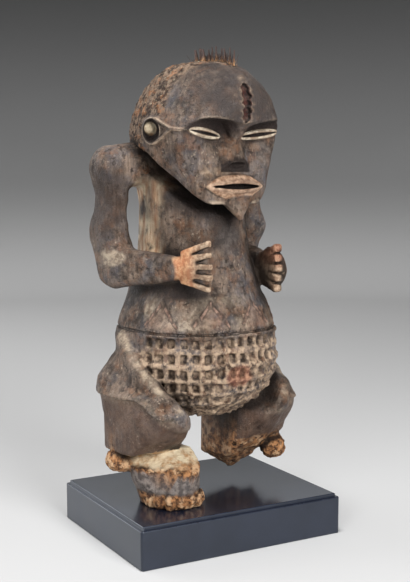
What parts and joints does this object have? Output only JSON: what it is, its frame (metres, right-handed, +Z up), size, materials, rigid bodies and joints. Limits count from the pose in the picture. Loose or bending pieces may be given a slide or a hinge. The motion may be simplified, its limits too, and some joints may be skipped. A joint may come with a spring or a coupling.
{
  "type": "carved wooden figure",
  "caption": "Carved standing figure with a domed head, open hands, pitted round belly and one remaining foot, shown on a black block plinth.",
  "frame": {"origin": "centre of the plinth's underside", "axes": "+Z up, the plinth's long sides along X, its long front side facing -Y, the figure facing -Y turned 10 degrees about +Z"},
  "size_m": [0.1972, 0.163, 0.4255],
  "materials": {
    "wood": "dark worn patina with pale rubbed edges and orange broken wood",
    "quill": "dark matt",
    "plinth": "black satin paint with a glossy top"
  },
  "bodies": {
    "root": {"plinth": "plinth", "figure": "wood", "quill_1": "quill", "quill_2": "quill", "quill_3": "quill", "quill_4": "quill", "quill_5": "quill", "quill_6": "quill", "quill_7": "quill", "quill_8": "quill", "quill_9": "quill", "quill_10": "quill"}
  },
  "joints": []
}
